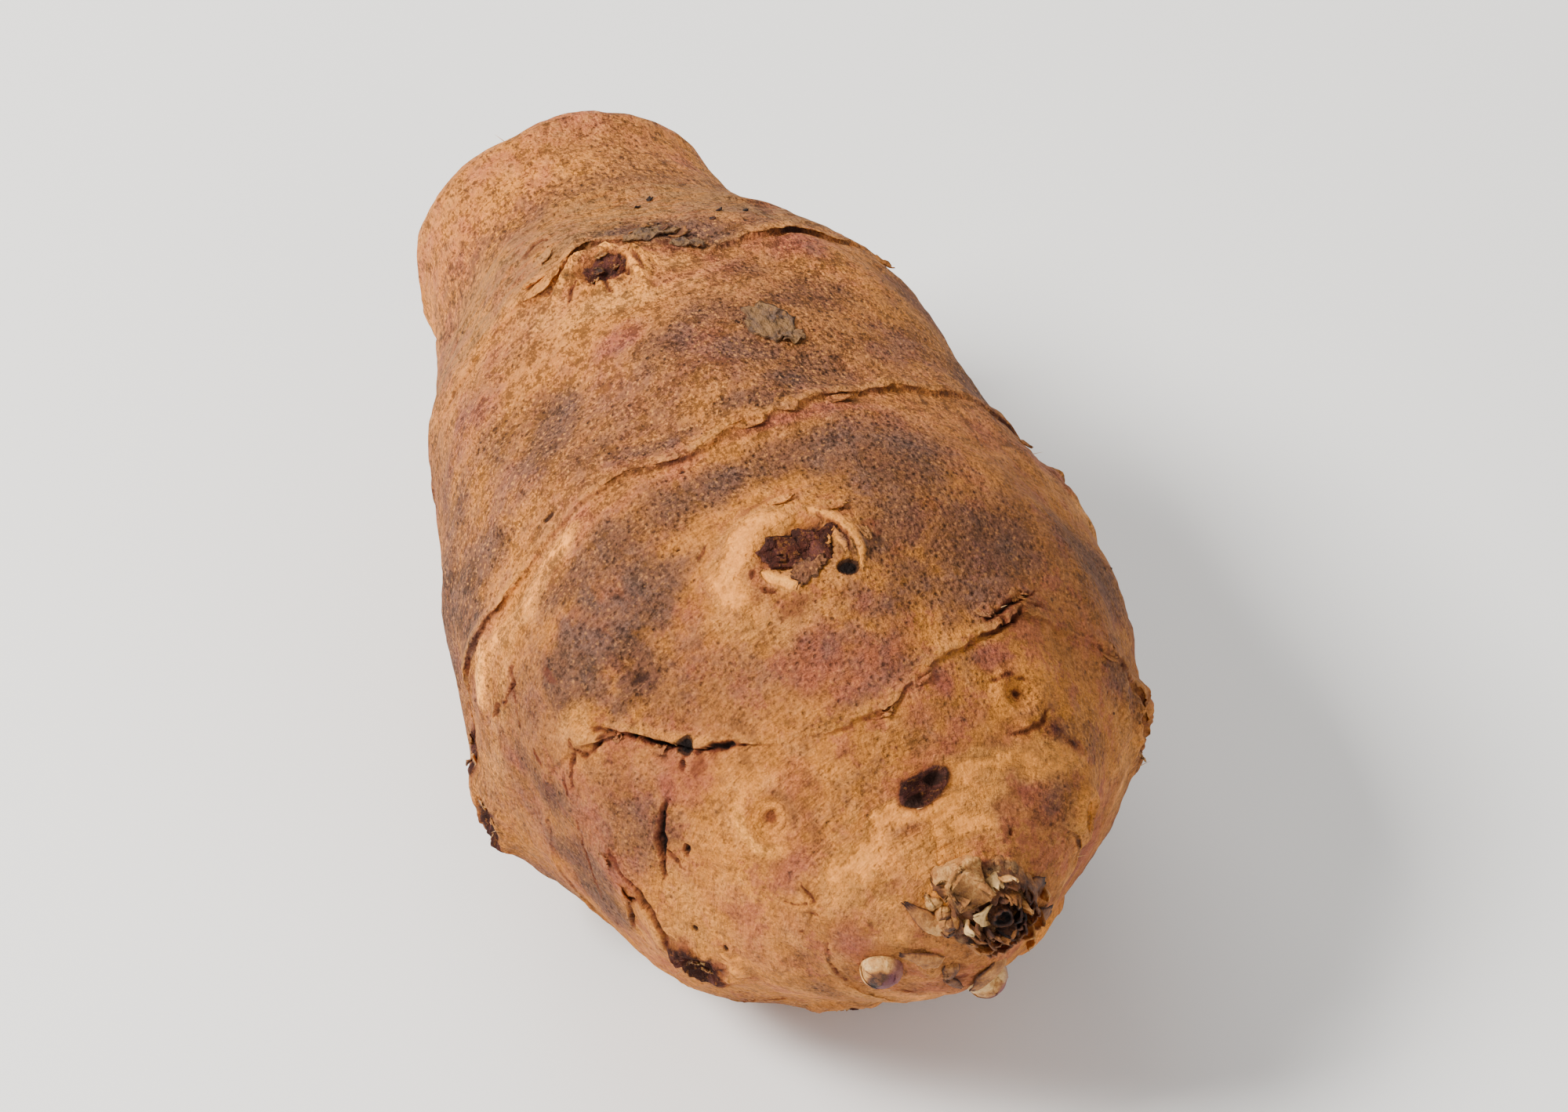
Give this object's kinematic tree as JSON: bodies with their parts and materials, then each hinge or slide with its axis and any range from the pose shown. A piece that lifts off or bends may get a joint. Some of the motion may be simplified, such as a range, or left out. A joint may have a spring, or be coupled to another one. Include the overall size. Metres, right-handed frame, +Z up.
{
  "type": "jerusalem artichoke",
  "caption": "Whole knobbly jerusalem artichoke tuber lying on its side, ringed by leaf scars, with eyes, small buds, a scaly crown at the tip and a broken stem end.",
  "frame": {"origin": "middle of the bounding box's base, on the surface the tuber lies on", "axes": "+X along the tuber to its growing tip, +Z up as it lies, the broken stem end at -X"},
  "size_m": [0.0869, 0.0504, 0.046],
  "materials": {
    "skin": "thin matt corky skin, tan to ochre with pink and purple-brown mottling, cream on the eyes, dark brown scabs on the scars"
  },
  "bodies": {
    "root": {"tuber": "skin"}
  },
  "joints": []
}
